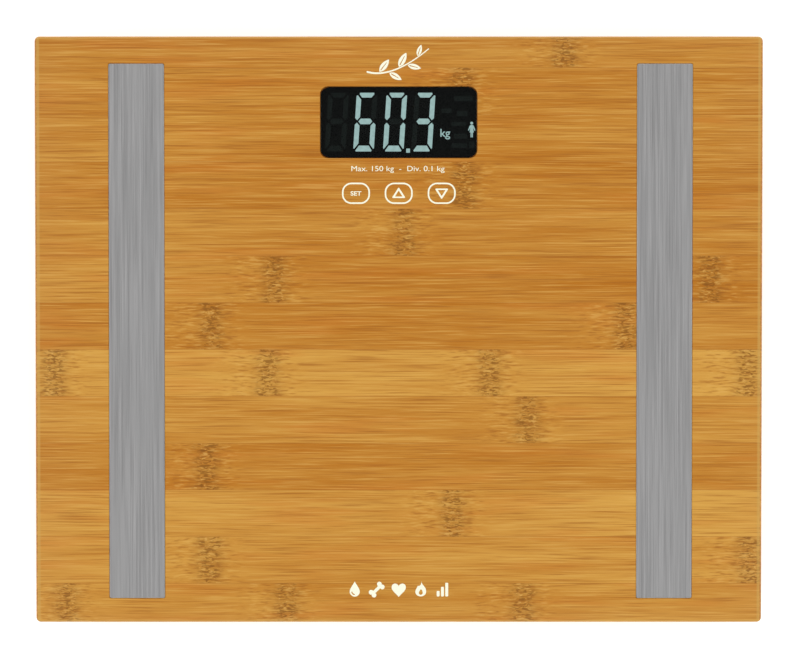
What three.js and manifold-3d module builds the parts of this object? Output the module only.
// Digital bathroom scale: a bamboo platform on four load-cell feet, with a display window, two electrode
// strips and an electronics pocket in its underside that a screwed housing closes.
//
// Millimetres, +Z up. The origin is on the floor under the middle of the platform. +X is to the user's
// right and +Y points away from the user, to the side where the display is.

import * as THREE from "three";
import { mergeVertices } from "three/addons/utils/BufferGeometryUtils.js";
import Module from "manifold-3d";

const wasm = await Module();
wasm.setup();

// ---------------------------------------------------------------------------------------------
// Driving dimensions
// ---------------------------------------------------------------------------------------------

const CLEAR = 0.3; // the usual gap between a piece and the recess that holds it
const PAST = 1; // how far a cutting shape runs past the face that it opens
const OVERLAP = 0.1; // how far joined shapes run into each other

const BOARD = { width: 310, depth: 250, bottom: 11, top: 23, corner: 2, edge: 1.3 };

// The two strips lie at x to the left and right of a line that is offset from the middle by shift.
const ELECTRODE = { x: 112.5, shift: 0.8, y: -0.6, width: 23.6, length: 228, corner: 0.6 };
const STRIP = { thick: 0.6, sink: 0.1, bed: 0.1 };
const STUD = { x: 116, y: 32, radius: 1.5, low: 14.2, hole: 2.5 };

const WINDOW = { y: 88.5, width: 67.1, depth: 30.6, corner: 3.5, ledge: 20.8 };
const WINDOW_HOLE = { width: 66.6, depth: 27.4, corner: 1.5 };
const LENS = { low: 21.15, high: 22.9 };
const TAPE = { width: 60, depth: 1.2, inset: 0.25, low: 20.85, high: 21.1 };

const LCD = { width: 65.8, depth: 26.8, corner: 0.5, low: 18.4, high: 20.6 };
const LCD_FRAME = { width: 70, depth: 31, corner: 1.5, low: 15.1, high: 18.3 };
const LCD_FRAME_HOLE = { width: 64.2, depth: 25.4, corner: 0.8 };
const BACKLIGHT = { width: 63.6, depth: 20.6, corner: 0.6, y: 86.7, low: 15.7, high: 18.2 };
const ZEBRA = { width: 60, depth: 2.2, y: 98.6, low: 15.15, high: 18.3 };

const KEYS = { x: [-18.2, 0, 18.3], y: 58.1, hole: 5, holeTop: 21.45 };
const TOUCH_SPRING = { radius: 3.1, wire: 0.3, turns: 4, low: 15.1, high: 21.4 };

const POCKET = { x: 54, front: -3, back: 110, top: 18.5, corner: 5 };
const PCB = { x: 50, front: 44, back: 109, low: 13.4, high: 15, corner: 1.5 };
const PCB_POSTS = { x: 46, y: [54, 105], radius: 2.4, high: 13.35, pin: 1, hole: 1.35, pinTop: 14.7 };
const CHIP = { x: -6, y: 68, size: 10, low: 11.8, high: 13.35 };

const COVER = { x: 62, front: -10, back: 117, low: 9.2, high: 10.9, corner: 8 };
const BAY = { x: 26, front: 1, back: 24, wall: 1.2, ceiling: 17.3, top: 18.3 };
const BUMP = { x: 30.2, front: -3.3, back: 28.6, low: 4.9, corner: 4, chamfer: 0.8 };
const MOUTH = { x: 27.7, front: -1, back: 26.2, top: 6.5, corner: 1 };
const NOTCH = { x: 7, back: 30, top: 7.2 };

const DOOR = { x: 27.3, back: 25.8, low: 4.9, high: 6.3, tongueX: 6, tongueBack: 28.2, tongueHigh: 6.1 };
const HINGE = { y: 0.3, z: 5.6, pin: 0.65, reach: 28.7, hole: 1, holeEnd: 29 };
const GRIP = { ribs: 4, pitch: 2, first: 15.5, width: 16, rib: 0.8, deep: 0.4 };

const CELL = { radius: 5.25, length: 44.5, edge: 0.4, nub: 1.9, nubLength: 0.9, y: [7, 18], z: 11.85 };
const CELL_END_GAP = 0.15;
const CONTACT = { inner: 25.35, outer: 25.75, half: 4 };
const TAIL = { end: 29, half: 0.8, z: 14.5, thick: 0.4 };
const CONTACT_SPRING = { wide: 3.4, narrow: 2.2, wire: 0.35, turns: 3, length: 5.6 };

const BUTTON = { x: 34, y: 66, radius: 4, edge: 0.5, low: 8.4 };
const BUTTON_COLLAR = { radius: 5.2, low: 11, high: 11.3 };
const BUTTON_NUB = { radius: 1.3, high: 12.4 };
const SWITCH = { size: 6, low: 11.95, high: 13.35, hole: 1.6, holeTop: 13.1 };

const FOOT = { x: 115, y: 87 };
const PAD = { radius: 21.5, edge: 0.5, high: 1.6 };
const CUP = { radius: 21.6, low: 1.65, floor: 3, rim: 3.9, rimInner: 20.2 };
const POST = { root: 4.2, tip: 3.2, high: 6.95 };
const HOOK = { inner: 19.5, outer: 21.2, width: 6, high: 6.7 };
const HOOK_NIB = { inner: 20.6, outer: 22.9, low: 5.6, high: 6.4 };
const FOOT_RING = { outer: 25, inner: 23.3, low: 4, edge: 0.6, plate: 9.6, high: 10.9, hole: 9 };
const FOOT_LIP = { radius: 22.2, high: 5.2 };
const LOAD_CELL = { size: 34, corner: 3, low: 7, high: 9.2, slotOuter: 11, slotInner: 8 };
const CLIP = { inner: 17.3, outer: 18.8, width: 8, low: 6.2, nib: 16.6, nibHigh: 6.85 };
const REST_BAR = { x: 14, width: 2.5, length: 24, low: 9.25 };
const EAR = { radius: 4.2, at: 28.5, rootRadius: 24, low: 9.3, hole: 1.6 };
const FOOT_RECESS = { radius: 10, top: 15 };

const SCREW = { head: 2.7, headHigh: 1.7, dome: 0.9, rim: 0.7, shank: 1.3, point: 1.8 };
const CROSS = { arm: 1.3, half: 0.3, deep: 0.9 };
const FOOT_SCREW_LENGTH = 8;
const COVER_SCREW = { x: 58, y: [-6.5, 113], length: 8, hole: 1.6 };
const PILOT = { radius: 1.5, spare: 0.5 };

const GROOVE = { x: 108.5, half: 3, end: 80, top: 15, crossY: 32, crossHalf: 4, crossOuter: 119 };
const CABLE = { radius: 1.1, z: 13.7, endZ: 12.15, endY: 47.5 };
const LEAD = { radius: 0.7, z: 12.2 };

// How many sides a turned or round shape has, by what it is.
const SIDE_COUNT = {
  foot: 24,
  recess: 20,
  cell: 14,
  button: 14,
  keyHole: 12,
  hinge: 12,
  ear: 12,
  screw: 8,
  hole: 8,
};

// Every piece's finish, by the name of its material.
const FINISHES = {
  bamboo: { color: 0xc58a42, roughness: 0.42, metalness: 0 },
  brushedSteel: { color: 0x9b9a99, roughness: 0.35, metalness: 1 },
  smokedAcrylic: { color: 0x1a1c1c, roughness: 0.08, metalness: 0 },
  foam: { color: 0x202020, roughness: 0.95, metalness: 0 },
  lcdGlass: { color: 0x101818, roughness: 0.15, metalness: 0 },
  diffuser: { color: 0xdfe6e4, roughness: 0.5, metalness: 0 },
  rubber: { color: 0x242424, roughness: 0.85, metalness: 0 },
  whitePlastic: { color: 0xe4e4e0, roughness: 0.5, metalness: 0 },
  blackPlastic: { color: 0x26272a, roughness: 0.5, metalness: 0 },
  circuitBoard: { color: 0x1d5b33, roughness: 0.4, metalness: 0 },
  chip: { color: 0x18181a, roughness: 0.6, metalness: 0 },
  springSteel: { color: 0xb9b9b6, roughness: 0.3, metalness: 1 },
  loadCellSteel: { color: 0xa3a5a8, roughness: 0.4, metalness: 1 },
  zincScrew: { color: 0xb5b3ab, roughness: 0.35, metalness: 1 },
  batteryWrap: { color: 0x2f6f9e, roughness: 0.35, metalness: 0 },
  greySheath: { color: 0x8d8f92, roughness: 0.6, metalness: 0 },
  redSheath: { color: 0xa92b25, roughness: 0.6, metalness: 0 },
  blackSheath: { color: 0x1c1c1e, roughness: 0.6, metalness: 0 },
};

// ---------------------------------------------------------------------------------------------
// Shapes
// ---------------------------------------------------------------------------------------------

// A copy of the geometry with only its positions, shared vertices merged and slivers at a pole left out.
function welded(geometry) {
  const bare = new THREE.BufferGeometry();
  bare.setAttribute("position", geometry.getAttribute("position").clone());
  bare.setIndex(geometry.index);
  const merged = mergeVertices(bare);
  const index = merged.index.array;
  const kept = [];
  for (let i = 0; i < index.length; i += 3) {
    const [a, b, c] = [index[i], index[i + 1], index[i + 2]];
    if (a !== b && b !== c && c !== a) {
      kept.push(a, b, c);
    }
  }
  merged.setIndex(kept);
  return facingOut(merged);
}

// Turns every face round where the geometry's signed volume is negative.
function facingOut(geometry) {
  const position = geometry.getAttribute("position");
  const index = geometry.index.array;
  const corner = [new THREE.Vector3(), new THREE.Vector3(), new THREE.Vector3()];
  let volume = 0;
  for (let i = 0; i < index.length; i += 3) {
    corner.forEach((point, k) => point.fromBufferAttribute(position, index[i + k]));
    volume += corner[0].dot(corner[1].cross(corner[2]));
  }
  if (volume < 0) {
    geometry.setIndex(Array.from(index).reverse());
  }
  return geometry;
}

function toSolid(geometry) {
  const clean = welded(geometry);
  const vertProperties = new Float32Array(clean.getAttribute("position").array);
  const triVerts = new Uint32Array(clean.index.array);
  return new wasm.Manifold(new wasm.Mesh({ numProp: 3, vertProperties, triVerts }));
}

function toGeometry(solid) {
  const mesh = solid.getMesh();
  const geometry = new THREE.BufferGeometry();
  geometry.setAttribute("position", new THREE.BufferAttribute(mesh.vertProperties, 3));
  geometry.setIndex(new THREE.BufferAttribute(mesh.triVerts, 1));
  return geometry;
}

// One body from several that overlap.
function joined(first, ...others) {
  const whole = others.reduce((solid, piece) => solid.add(toSolid(piece)), toSolid(first));
  return toGeometry(whole);
}

// The first geometry with every other one taken out of it.
function cut(body, ...tools) {
  const left = tools.reduce((solid, tool) => solid.subtract(toSolid(tool)), toSolid(body));
  return toGeometry(left);
}

function roundedRect(width, depth, radius, x = 0, y = 0) {
  const shape = new THREE.Shape();
  const right = x + width / 2 - radius;
  const left = x - width / 2 + radius;
  const back = y + depth / 2 - radius;
  const front = y - depth / 2 + radius;
  shape.absarc(right, back, radius, 0, Math.PI / 2);
  shape.absarc(left, back, radius, Math.PI / 2, Math.PI);
  shape.absarc(left, front, radius, Math.PI, 1.5 * Math.PI);
  shape.absarc(right, front, radius, 1.5 * Math.PI, 2 * Math.PI);
  shape.closePath();
  return shape;
}

// A rounded rectangle given by its sides instead of its size.
function roundedSides(left, right, front, back, radius) {
  return roundedRect(right - left, back - front, radius, (left + right) / 2, (front + back) / 2);
}

// A flat shape raised from one height to another. Each of its arcs gets curveSegments sides.
function prism(shape, low, high, curveSegments = 4) {
  const options = { depth: high - low, bevelEnabled: false, curveSegments };
  return new THREE.ExtrudeGeometry(shape, options).translate(0, 0, low);
}

// The same, with its lower edge, upper edge or both rounded or chamfered inwards by the bevel.
function softPrism(shape, low, high, bevel, bevelSegments, curveSegments = 4) {
  const options = {
    depth: high - low - 2 * bevel,
    bevelEnabled: true,
    bevelThickness: bevel,
    bevelSize: bevel,
    bevelOffset: -bevel,
    bevelSegments,
    curveSegments,
  };
  return new THREE.ExtrudeGeometry(shape, options).translate(0, 0, low + bevel);
}

function block(left, right, front, back, low, high) {
  const geometry = new THREE.BoxGeometry(right - left, back - front, high - low);
  return geometry.translate((left + right) / 2, (front + back) / 2, (low + high) / 2);
}

// An upright round bar.
function rod(radius, low, high, x, y, sides) {
  const geometry = new THREE.CylinderGeometry(radius, radius, high - low, sides).rotateX(Math.PI / 2);
  return geometry.translate(x, y, (low + high) / 2);
}

// A round bar along X.
function crossRod(radius, left, right, y, z) {
  const length = right - left;
  const geometry = new THREE.CylinderGeometry(radius, radius, length, SIDE_COUNT.hinge);
  return geometry.rotateZ(Math.PI / 2).translate((left + right) / 2, y, z);
}

// A profile of [radius, height] pairs turned about the Z axis.
function turned(profile, sides) {
  const points = profile.map(([radius, height]) => new THREE.Vector2(radius, height));
  return new THREE.LatheGeometry(points, sides).rotateX(Math.PI / 2);
}

// A coil whose radius may change from its lower end to its upper end.
class Helix extends THREE.Curve {
  constructor(low, high, lowRadius, highRadius, turns) {
    super();
    Object.assign(this, { low, high, lowRadius, highRadius, turns });
  }

  getPoint(t, target = new THREE.Vector3()) {
    const angle = 2 * Math.PI * this.turns * t;
    const radius = THREE.MathUtils.lerp(this.lowRadius, this.highRadius, t);
    const height = THREE.MathUtils.lerp(this.low, this.high, t);
    return target.set(radius * Math.cos(angle), radius * Math.sin(angle), height);
  }
}

// A route through hand-set points that gives each stretch between two points the same number of steps.
class Route extends THREE.CatmullRomCurve3 {
  getPointAt(u, target) {
    return this.getPoint(u, target);
  }

  getTangentAt(u, target) {
    return this.getTangent(u, target);
  }
}

// A round wire along a curve.
function wire(curve, radius, steps, sides) {
  const section = new THREE.Shape();
  for (let i = 0; i < sides; i += 1) {
    const angle = (2 * Math.PI * i) / sides;
    const [x, y] = [radius * Math.cos(angle), radius * Math.sin(angle)];
    if (i === 0) {
      section.moveTo(x, y);
    } else {
      section.lineTo(x, y);
    }
  }
  return new THREE.ExtrudeGeometry(section, { extrudePath: curve, steps, bevelEnabled: false });
}

const COIL_STEPS_PER_TURN = 8;
const COIL_SIDES = 5;

function coil(helix, radius) {
  return wire(helix, radius, Math.round(helix.turns * COIL_STEPS_PER_TURN), COIL_SIDES);
}

const CABLE_SIDES = 8;

function cable(points, radius) {
  const route = new Route(points.map(([x, y, z]) => new THREE.Vector3(x, y, z)));
  return wire(route, radius, points.length - 1, CABLE_SIDES);
}

// ---------------------------------------------------------------------------------------------
// The assembly
// ---------------------------------------------------------------------------------------------

const scale = new THREE.Group();

function piece(name, geometry, finish, parent = scale) {
  const mesh = new THREE.Mesh(welded(geometry), new THREE.MeshStandardMaterial(FINISHES[finish]));
  mesh.name = name;
  parent.add(mesh);
  return mesh;
}

const SIDES = [
  { name: "left", sign: -1 },
  { name: "right", sign: 1 },
];
const ENDS = [
  { name: "front", sign: -1 },
  { name: "back", sign: 1 },
];

// --- Platform ---

const EAR_OFFSET = EAR.at * Math.SQRT1_2;

// The two screws of a foot lie on the diagonal that runs from the middle of the platform to its corner.
function footScrewPlaces(side, end) {
  return [-1, 1].map((k) => [
    side.sign * (FOOT.x + k * EAR_OFFSET),
    end.sign * (FOOT.y + k * EAR_OFFSET),
  ]);
}

function coverScrewPlaces() {
  return SIDES.flatMap((side) => COVER_SCREW.y.map((y) => [side.sign * COVER_SCREW.x, y]));
}

function pilotHole([x, y], headTop, length) {
  return rod(PILOT.radius, BOARD.bottom - PAST, headTop + length + PILOT.spare, x, y, SIDE_COUNT.hole);
}

// An outline centred on the display window.
function windowRect({ width, depth, corner }, grown = 0) {
  return roundedRect(width + grown, depth + grown, corner, 0, WINDOW.y);
}

// The outline of one electrode strip, or of its bed in the platform.
function electrodeRect(side, grown = 0) {
  const x = side.sign * ELECTRODE.x + ELECTRODE.shift;
  return roundedRect(ELECTRODE.width + grown, ELECTRODE.length + grown, ELECTRODE.corner, x, ELECTRODE.y);
}

function platformCuts() {
  const below = BOARD.bottom - PAST;
  const above = BOARD.top + PAST;
  const pocket = roundedSides(-POCKET.x, POCKET.x, POCKET.front, POCKET.back, POCKET.corner);
  const cuts = [
    prism(pocket, below, POCKET.top, 3),
    prism(windowRect(WINDOW_HOLE), POCKET.top - PAST, above, 2),
    prism(windowRect(WINDOW), WINDOW.ledge, above, 4),
    ...KEYS.x.map((x) => rod(KEYS.hole, POCKET.top - PAST, KEYS.holeTop, x, KEYS.y, SIDE_COUNT.keyHole)),
    ...coverScrewPlaces().map((place) => pilotHole(place, COVER.low, COVER_SCREW.length)),
  ];
  const bedDepth = STRIP.sink + STRIP.thick + STRIP.bed;
  for (const side of SIDES) {
    const along = side.sign * GROOVE.x;
    const crossEnds = [POCKET.x - PAST, GROOVE.crossOuter].map((x) => side.sign * x);
    const [left, right] = crossEnds.sort((a, b) => a - b);
    cuts.push(
      prism(electrodeRect(side, CLEAR), BOARD.top - bedDepth, above, 1),
      block(along - GROOVE.half, along + GROOVE.half, -GROOVE.end, GROOVE.end, below, GROOVE.top),
      block(
        left,
        right,
        GROOVE.crossY - GROOVE.crossHalf,
        GROOVE.crossY + GROOVE.crossHalf,
        below,
        GROOVE.top,
      ),
      rod(STUD.hole, GROOVE.top - PAST, above, side.sign * STUD.x, STUD.y, SIDE_COUNT.hole),
    );
    for (const end of ENDS) {
      cuts.push(
        rod(
          FOOT_RECESS.radius,
          below,
          FOOT_RECESS.top,
          side.sign * FOOT.x,
          end.sign * FOOT.y,
          SIDE_COUNT.recess,
        ),
        ...footScrewPlaces(side, end).map((place) => pilotHole(place, EAR.low, FOOT_SCREW_LENGTH)),
      );
    }
  }
  return cuts;
}

function platform() {
  const outline = roundedRect(BOARD.width, BOARD.depth, BOARD.corner);
  const plank = softPrism(outline, BOARD.bottom, BOARD.top, BOARD.edge, 2, 3);
  return cut(plank, ...platformCuts());
}

piece("bamboo_platform", platform(), "bamboo");

// --- Electrodes, each a strip with a welded stud that its lead is soldered to ---

for (const side of SIDES) {
  const high = BOARD.top - STRIP.sink;
  const low = high - STRIP.thick;
  const strip = prism(electrodeRect(side), low, high, 1);
  const stud = rod(STUD.radius, STUD.low, low + OVERLAP, side.sign * STUD.x, STUD.y, SIDE_COUNT.hole);
  piece(`electrode_${side.name}`, joined(strip, stud), "brushedSteel");
}

// --- Display, from the lens down ---

piece("display_lens", prism(windowRect(WINDOW, -2 * CLEAR), LENS.low, LENS.high, 4), "smokedAcrylic");

// Two strips of foam tape hold the lens to the ledges in front of the opening and behind it.
for (const end of ENDS) {
  const y = WINDOW.y + end.sign * (WINDOW.depth / 2 - TAPE.inset - TAPE.depth / 2);
  const [half, reach] = [TAPE.width / 2, TAPE.depth / 2];
  piece(`lens_tape_${end.name}`, block(-half, half, y - reach, y + reach, TAPE.low, TAPE.high), "foam");
}

piece("lcd_glass", prism(windowRect(LCD), LCD.low, LCD.high, 1), "lcdGlass");

const backlightOutline = roundedRect(BACKLIGHT.width, BACKLIGHT.depth, BACKLIGHT.corner, 0, BACKLIGHT.y);
piece("lcd_backlight", prism(backlightOutline, BACKLIGHT.low, BACKLIGHT.high, 2), "diffuser");
piece(
  "lcd_zebra_strip",
  block(
    -ZEBRA.width / 2,
    ZEBRA.width / 2,
    ZEBRA.y - ZEBRA.depth / 2,
    ZEBRA.y + ZEBRA.depth / 2,
    ZEBRA.low,
    ZEBRA.high,
  ),
  "rubber",
);
const lcdFrameOutline = windowRect(LCD_FRAME);
lcdFrameOutline.holes.push(windowRect(LCD_FRAME_HOLE));
piece("lcd_frame", prism(lcdFrameOutline, LCD_FRAME.low, LCD_FRAME.high, 3), "whitePlastic");

// --- Circuit board, its chip and the touch springs that reach up to the wood under the keys ---

// Small soldered parts under the board: [x, y, width, depth, height].
const SMALL_PARTS = [
  [14, 62, 3.2, 2.5, 1.2],
  [14, 70, 5, 2, 1.4],
  [-22, 62, 2, 1.2, 0.7],
  [-22, 66, 2, 1.2, 0.7],
  [-22, 70, 2, 1.2, 0.7],
  [4, 84, 8, 4, 1.5],
];

// An upright bar, or a tool for a hole, at each of the four posts that hold the circuit board.
function atPosts(radius, low, high) {
  return SIDES.flatMap((side) =>
    PCB_POSTS.y.map((y) => rod(radius, low, high, side.sign * PCB_POSTS.x, y, SIDE_COUNT.hole)),
  );
}

function circuitBoard() {
  const outline = roundedSides(-PCB.x, PCB.x, PCB.front, PCB.back, PCB.corner);
  const parts = SMALL_PARTS.map(([x, y, width, depth, height]) =>
    block(x - width / 2, x + width / 2, y - depth / 2, y + depth / 2, PCB.low - height, PCB.low + OVERLAP),
  );
  const board = joined(prism(outline, PCB.low, PCB.high, 2), ...parts);
  return cut(board, ...atPosts(PCB_POSTS.hole, PCB.low - PAST, PCB.high + PAST));
}

piece("main_pcb", circuitBoard(), "circuitBoard");
piece(
  "controller_chip",
  block(
    CHIP.x - CHIP.size / 2,
    CHIP.x + CHIP.size / 2,
    CHIP.y - CHIP.size / 2,
    CHIP.y + CHIP.size / 2,
    CHIP.low,
    CHIP.high,
  ),
  "chip",
);

["left", "middle", "right"].forEach((name, i) => {
  const { low, high, radius, wire: thickness, turns } = TOUCH_SPRING;
  const spring = coil(new Helix(low + thickness, high - thickness, radius, radius, turns), thickness);
  piece(`touch_spring_${name}`, spring, "springSteel").position.set(KEYS.x[i], KEYS.y, 0);
});

// --- Unit button and the switch that it presses ---

piece(
  "unit_button",
  turned(
    [
      [0, BUTTON.low],
      [BUTTON.radius - BUTTON.edge, BUTTON.low],
      [BUTTON.radius, BUTTON.low + BUTTON.edge],
      [BUTTON.radius, BUTTON_COLLAR.low],
      [BUTTON_COLLAR.radius, BUTTON_COLLAR.low],
      [BUTTON_COLLAR.radius, BUTTON_COLLAR.high],
      [BUTTON_NUB.radius, BUTTON_COLLAR.high],
      [BUTTON_NUB.radius, BUTTON_NUB.high],
      [0, BUTTON_NUB.high],
    ],
    SIDE_COUNT.button,
  ),
  "blackPlastic",
).position.set(BUTTON.x, BUTTON.y, 0);

piece(
  "tact_switch",
  cut(
    block(-SWITCH.size / 2, SWITCH.size / 2, -SWITCH.size / 2, SWITCH.size / 2, SWITCH.low, SWITCH.high),
    rod(SWITCH.hole, SWITCH.low - PAST, SWITCH.holeTop, 0, 0, SIDE_COUNT.hole),
  ),
  "chip",
).position.set(BUTTON.x, BUTTON.y, 0);

// --- Bottom housing: cover plate, battery bay inside the platform and battery bump below it ---

function bottomHousing() {
  const plate = prism(
    roundedSides(-COVER.x, COVER.x, COVER.front, COVER.back, COVER.corner),
    COVER.low,
    COVER.high,
    3,
  );
  const bay = block(
    -BAY.x - BAY.wall,
    BAY.x + BAY.wall,
    BAY.front - BAY.wall,
    BAY.back + BAY.wall,
    COVER.low,
    BAY.top,
  );
  const bump = softPrism(
    roundedSides(-BUMP.x, BUMP.x, BUMP.front, BUMP.back, BUMP.corner),
    BUMP.low,
    COVER.high,
    BUMP.chamfer,
    1,
    3,
  );
  const posts = [
    ...atPosts(PCB_POSTS.radius, COVER.high - OVERLAP, PCB_POSTS.high),
    ...atPosts(PCB_POSTS.pin, PCB_POSTS.high - OVERLAP, PCB_POSTS.pinTop),
  ];
  const below = BUMP.low - PAST;
  const tailSlots = CELL.y.map((y) =>
    block(
      BAY.x - PAST,
      BAY.x + BAY.wall + PAST,
      y - TAIL.half - CLEAR,
      y + TAIL.half + CLEAR,
      TAIL.z - TAIL.thick / 2 - CLEAR,
      TAIL.z + TAIL.thick / 2 + CLEAR,
    ),
  );
  const screwHoles = coverScrewPlaces().map(([x, y]) =>
    rod(COVER_SCREW.hole, COVER.low - PAST, COVER.high + PAST, x, y, SIDE_COUNT.hole),
  );
  const mouth = roundedSides(-MOUTH.x, MOUTH.x, MOUTH.front, MOUTH.back, MOUTH.corner);
  return cut(
    joined(plate, bay, bump, ...posts),
    block(-BAY.x, BAY.x, BAY.front, BAY.back, below, BAY.ceiling),
    prism(mouth, below, MOUTH.top, 2),
    block(-NOTCH.x, NOTCH.x, BAY.back, NOTCH.back, below, NOTCH.top),
    crossRod(HINGE.hole, -HINGE.holeEnd, HINGE.holeEnd, HINGE.y, HINGE.z),
    rod(BUTTON.radius + CLEAR, COVER.low - PAST, COVER.high + PAST, BUTTON.x, BUTTON.y, SIDE_COUNT.button),
    ...tailSlots,
    ...screwHoles,
  );
}

piece("bottom_housing", bottomHousing(), "blackPlastic");

// --- Battery door: a plate with a round hinge edge, two end pins, a snap tongue and grip ribs ---

function batteryDoor() {
  const leaf = block(-DOOR.x, DOOR.x, HINGE.y, DOOR.back, DOOR.low, DOOR.high);
  const knuckle = crossRod((DOOR.high - DOOR.low) / 2, -DOOR.x, DOOR.x, HINGE.y, HINGE.z);
  const pins = crossRod(HINGE.pin, -HINGE.reach, HINGE.reach, HINGE.y, HINGE.z);
  const tongueRoot = DOOR.back - OVERLAP;
  const tongue = block(-DOOR.tongueX, DOOR.tongueX, tongueRoot, DOOR.tongueBack, DOOR.low, DOOR.tongueHigh);
  const grooves = Array.from({ length: GRIP.ribs }, (_, i) => {
    const y = GRIP.first + i * GRIP.pitch;
    return block(
      -GRIP.width / 2,
      GRIP.width / 2,
      y - GRIP.rib / 2,
      y + GRIP.rib / 2,
      DOOR.low - PAST,
      DOOR.low + GRIP.deep,
    );
  });
  return cut(joined(leaf, knuckle, pins, tongue), ...grooves);
}

piece("battery_door", batteryDoor(), "blackPlastic");

// --- Cells, contacts and battery leads. The front cell's positive end is on the right. ---

function batteryCell() {
  const shoulder = CELL.length - CELL.nubLength;
  const profile = [
    [0, 0],
    [CELL.radius - CELL.edge, 0],
    [CELL.radius, CELL.edge],
    [CELL.radius, shoulder - CELL.edge],
    [CELL.radius - CELL.edge, shoulder],
    [CELL.nub, shoulder],
    [CELL.nub, CELL.length],
    [0, CELL.length],
  ];
  return turned(profile, SIDE_COUNT.cell).rotateY(Math.PI / 2);
}

CELL.y.forEach((y, i) => {
  const towardsRight = i === 0;
  const cell = piece(`battery_${ENDS[i].name}`, batteryCell(), "batteryWrap");
  const positiveEnd = CONTACT.inner - CELL_END_GAP;
  cell.rotation.z = towardsRight ? 0 : Math.PI;
  cell.position.set((towardsRight ? 1 : -1) * (positiveEnd - CELL.length), y, CELL.z);
});

// A spring that stands on the right-hand contact and narrows towards the cell.
function contactSpring(y) {
  const { wide, narrow, wire: thickness, turns, length } = CONTACT_SPRING;
  return coil(new Helix(0, length, wide, narrow, turns), thickness)
    .rotateY(-Math.PI / 2)
    .translate(CONTACT.inner + thickness / 2, y, CELL.z);
}

function contactPlate(front, back) {
  return block(
    CONTACT.inner,
    CONTACT.outer,
    front - CONTACT.half,
    back + CONTACT.half,
    CELL.z - CONTACT.half,
    CELL.z + CONTACT.half,
  );
}

function contactTail(y) {
  return block(
    CONTACT.inner,
    TAIL.end,
    y - TAIL.half,
    y + TAIL.half,
    TAIL.z - TAIL.thick / 2,
    TAIL.z + TAIL.thick / 2,
  );
}

const [FRONT_CELL_Y, BACK_CELL_Y] = CELL.y;
piece(
  "battery_contact_positive",
  joined(contactPlate(FRONT_CELL_Y, FRONT_CELL_Y), contactTail(FRONT_CELL_Y)),
  "springSteel",
);
piece(
  "battery_contact_negative",
  joined(contactPlate(BACK_CELL_Y, BACK_CELL_Y), contactTail(BACK_CELL_Y), contactSpring(BACK_CELL_Y)),
  "springSteel",
);
const link = joined(contactPlate(FRONT_CELL_Y, BACK_CELL_Y), contactSpring(BACK_CELL_Y));
const linkMesh = piece("battery_link", link, "springSteel");
linkMesh.rotation.z = Math.PI;
linkMesh.position.y = FRONT_CELL_Y + BACK_CELL_Y;

piece(
  "battery_lead_positive",
  cable(
    [
      [29.6, 7, 14.5],
      [31, 8.5, 14.5],
      [32, 12, 14.2],
      [32.2, 20, 13.8],
      [32, 34, 13],
      [31.4, 42, LEAD.z],
      [31, CABLE.endY, LEAD.z],
    ],
    LEAD.radius,
  ),
  "redSheath",
);
piece(
  "battery_lead_negative",
  cable(
    [
      [29.6, 18, 14.5],
      [30, 20.5, 14.4],
      [29.6, 26, 13.8],
      [28, 34, 13],
      [27.2, 42, LEAD.z],
      [27, CABLE.endY, LEAD.z],
    ],
    LEAD.radius,
  ),
  "blackSheath",
);

// --- Screws, with the underside of the head at the origin and the tip up ---

function screwGeometry(length) {
  const body = turned(
    [
      [0, -SCREW.headHigh],
      [SCREW.head - SCREW.dome, -SCREW.headHigh],
      [SCREW.head, -SCREW.rim],
      [SCREW.head, 0],
      [SCREW.shank, 0],
      [SCREW.shank, length - SCREW.point],
      [0, length],
    ],
    SIDE_COUNT.screw,
  );
  const [half, arm] = [CROSS.half, CROSS.arm];
  const slots = [
    block(-half, half, -arm, arm, -SCREW.headHigh - PAST, -SCREW.headHigh + CROSS.deep),
    block(-arm, arm, -half, half, -SCREW.headHigh - PAST, -SCREW.headHigh + CROSS.deep),
  ];
  return cut(body, ...slots);
}

const SCREW_GAP = 0.05;
const coverScrew = screwGeometry(COVER_SCREW.length);
coverScrewPlaces().forEach(([x, y], i) => {
  piece(`housing_screw_${i + 1}`, coverScrew, "zincScrew").position.set(x, y, COVER.low - SCREW_GAP);
});

// --- Feet: housing ring, load cell, cup and pad, each built about the foot's own axis ---

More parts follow.
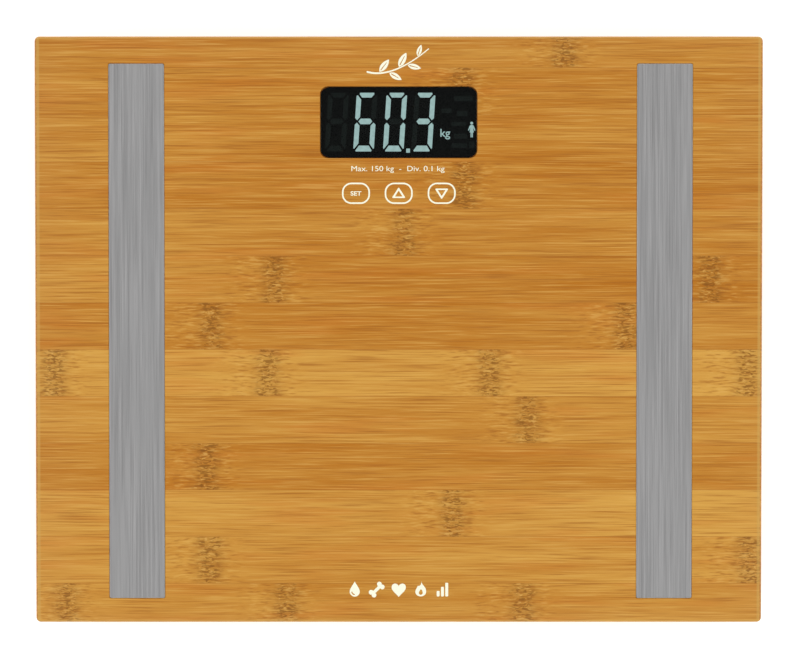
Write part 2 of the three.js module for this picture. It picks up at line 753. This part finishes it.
function footHousing() {
  const ringBody = turned(
    [
      [FOOT_RING.hole, FOOT_RING.high],
      [FOOT_RING.outer, FOOT_RING.high],
      [FOOT_RING.outer, FOOT_RING.low + FOOT_RING.edge],
      [FOOT_RING.outer - FOOT_RING.edge, FOOT_RING.low],
      [FOOT_LIP.radius, FOOT_RING.low],
      [FOOT_LIP.radius, FOOT_LIP.high],
      [FOOT_RING.inner, FOOT_LIP.high],
      [FOOT_RING.inner, FOOT_RING.plate],
      [FOOT_RING.hole, FOOT_RING.plate],
      [FOOT_RING.hole, FOOT_RING.high],
    ],
    SIDE_COUNT.foot,
  );
  const plateLap = FOOT_RING.plate + OVERLAP;
  const bars = [-1, 1].map((k) =>
    block(
      k * REST_BAR.x - REST_BAR.width / 2,
      k * REST_BAR.x + REST_BAR.width / 2,
      -REST_BAR.length / 2,
      REST_BAR.length / 2,
      REST_BAR.low,
      plateLap,
    ),
  );
  const clips = [0, 1, 2, 3].flatMap((quarter) => {
    const half = CLIP.width / 2;
    const wall = block(CLIP.inner, CLIP.outer, -half, half, CLIP.low, plateLap);
    const nib = block(CLIP.nib, CLIP.inner + OVERLAP, -half, half, CLIP.low, CLIP.nibHigh);
    return [wall, nib].map((shape) => shape.rotateZ((quarter * Math.PI) / 2));
  });
  const ears = [-1, 1].flatMap((k) => {
    const reach = k * EAR_OFFSET;
    const web = block(0, EAR.at, -EAR.radius, EAR.radius, EAR.low, FOOT_RING.high);
    web.rotateZ(k > 0 ? Math.PI / 4 : 1.25 * Math.PI);
    return [rod(EAR.radius, EAR.low, FOOT_RING.high, reach, reach, SIDE_COUNT.ear), web];
  });
  const earHoles = [-1, 1].map((k) =>
    rod(EAR.hole, EAR.low - PAST, FOOT_RING.high + PAST, k * EAR_OFFSET, k * EAR_OFFSET, SIDE_COUNT.hole),
  );
  const middle = rod(EAR.rootRadius, EAR.low - PAST, FOOT_RING.high + PAST, 0, 0, SIDE_COUNT.foot);
  const earPair = cut(joined(...ears), middle);
  return cut(joined(ringBody, earPair, ...bars, ...clips), ...earHoles);
}

// A square steel plate whose U-shaped slot leaves a tongue that bends under load.
function loadCell() {
  const plate = roundedRect(LOAD_CELL.size, LOAD_CELL.size, LOAD_CELL.corner);
  const [outer, inner] = [LOAD_CELL.slotOuter, LOAD_CELL.slotInner];
  const slot = new THREE.Path();
  slot.moveTo(-outer, outer);
  slot.lineTo(-outer, -outer);
  slot.lineTo(outer, -outer);
  slot.lineTo(outer, outer);
  slot.lineTo(inner, outer);
  slot.lineTo(inner, -inner);
  slot.lineTo(-inner, -inner);
  slot.lineTo(-inner, outer);
  slot.closePath();
  plate.holes.push(slot);
  return prism(plate, LOAD_CELL.low, LOAD_CELL.high, 3);
}

function footCup() {
  const dish = turned(
    [
      [0, CUP.low],
      [CUP.radius, CUP.low],
      [CUP.radius, CUP.rim],
      [CUP.rimInner, CUP.rim],
      [CUP.rimInner, CUP.floor],
      [POST.root, CUP.floor],
      [POST.tip, POST.high],
      [0, POST.high],
    ],
    SIDE_COUNT.foot,
  );
  const hooks = [0, 1, 2, 3].flatMap((quarter) => {
    const half = HOOK.width / 2;
    const stem = block(HOOK.inner, HOOK.outer, -half, half, CUP.floor - OVERLAP, HOOK.high);
    const nib = block(HOOK_NIB.inner, HOOK_NIB.outer, -half, half, HOOK_NIB.low, HOOK_NIB.high);
    return [stem, nib].map((shape) => shape.rotateZ((quarter * Math.PI) / 2));
  });
  return joined(dish, ...hooks);
}

function footPad() {
  return turned(
    [
      [0, 0],
      [PAD.radius - PAD.edge, 0],
      [PAD.radius, PAD.edge],
      [PAD.radius, PAD.high],
      [0, PAD.high],
    ],
    SIDE_COUNT.foot,
  );
}

const footHousingGeometry = footHousing();
const loadCellGeometry = loadCell();
const footCupGeometry = footCup();
const footPadGeometry = footPad();
const footScrewGeometry = screwGeometry(FOOT_SCREW_LENGTH);

for (const side of SIDES) {
  for (const end of ENDS) {
    const place = `${end.name}_${side.name}`;
    const foot = new THREE.Group();
    foot.position.set(side.sign * FOOT.x, end.sign * FOOT.y, 0);
    foot.rotation.z = side.sign === end.sign ? 0 : Math.PI / 2;
    scale.add(foot);
    piece(`foot_housing_${place}`, footHousingGeometry, "blackPlastic", foot);
    piece(`load_cell_${place}`, loadCellGeometry, "loadCellSteel", foot);
    piece(`foot_cup_${place}`, footCupGeometry, "blackPlastic", foot);
    piece(`foot_pad_${place}`, footPadGeometry, "rubber", foot);
    footScrewPlaces(side, end).forEach(([x, y], i) => {
      const name = `foot_screw_${place}_${["inner", "outer"][i]}`;
      piece(name, footScrewGeometry, "zincScrew").position.set(x, y, EAR.low - SCREW_GAP);
    });
  }
}

// --- Cables in the grooves. Each route is set for the right side and mirrored for the left. ---

// Out of the foot, up into the groove: from the foot's tongue to where the groove runs straight.
const FROM_FOOT = [
  [115, 86.5, 9.5],
  [114.9, 86, 11.3],
  [113.6, 84.2, 13.2],
  [111.6, 82, CABLE.z],
  [109.8, 79, CABLE.z],
  [108.6, 75, CABLE.z],
  [GROOVE.x, 70, CABLE.z],
];

// From the straight groove into the pocket and under the edge of the circuit board.
const TO_BOARD = {
  front: [
    [GROOVE.x, 22, CABLE.z],
    [108, 26, CABLE.z],
    [106.4, 28.8, CABLE.z],
    [103.5, 30, CABLE.z],
    [56, 30, CABLE.z],
    [46, 30.6, 13.4],
    [40, 33.5, 12.9],
    [37.4, 39, 12.3],
    [37, 43, CABLE.endZ],
    [37, CABLE.endY, CABLE.endZ],
  ],
  back: [
    [GROOVE.x, 42, CABLE.z],
    [108, 38, CABLE.z],
    [106.4, 35.2, CABLE.z],
    [103.5, 34, CABLE.z],
    [58, 34, CABLE.z],
    [51, 34.6, 13.4],
    [47, 37, 12.9],
    [45.2, 41, 12.3],
    [45, 44, CABLE.endZ],
    [45, CABLE.endY, CABLE.endZ],
  ],
};

const ELECTRODE_LEAD = [
  [STUD.x, STUD.y, STUD.low - CLEAR],
  [115.4, 32, 12.9],
  [113.5, 32, LEAD.z],
  [108, 32, LEAD.z],
  [56, 32, LEAD.z],
  [48.5, 32.6, LEAD.z],
  [43.5, 35.5, LEAD.z],
  [41.3, 40, LEAD.z],
  [41, 44, LEAD.z],
  [41, CABLE.endY, LEAD.z],
];

function mirrored(points, signX, signY = 1) {
  return points.map(([x, y, z]) => [signX * x, signY * y, z]);
}

for (const side of SIDES) {
  for (const end of ENDS) {
    const points = [...mirrored(FROM_FOOT, 1, end.sign), ...TO_BOARD[end.name]];
    const geometry = cable(mirrored(points, side.sign), CABLE.radius);
    piece(`load_cell_cable_${end.name}_${side.name}`, geometry, "greySheath");
  }
  const lead = cable(mirrored(ELECTRODE_LEAD, side.sign), LEAD.radius);
  piece(`electrode_lead_${side.name}`, lead, "blackSheath");
}

export default scale;
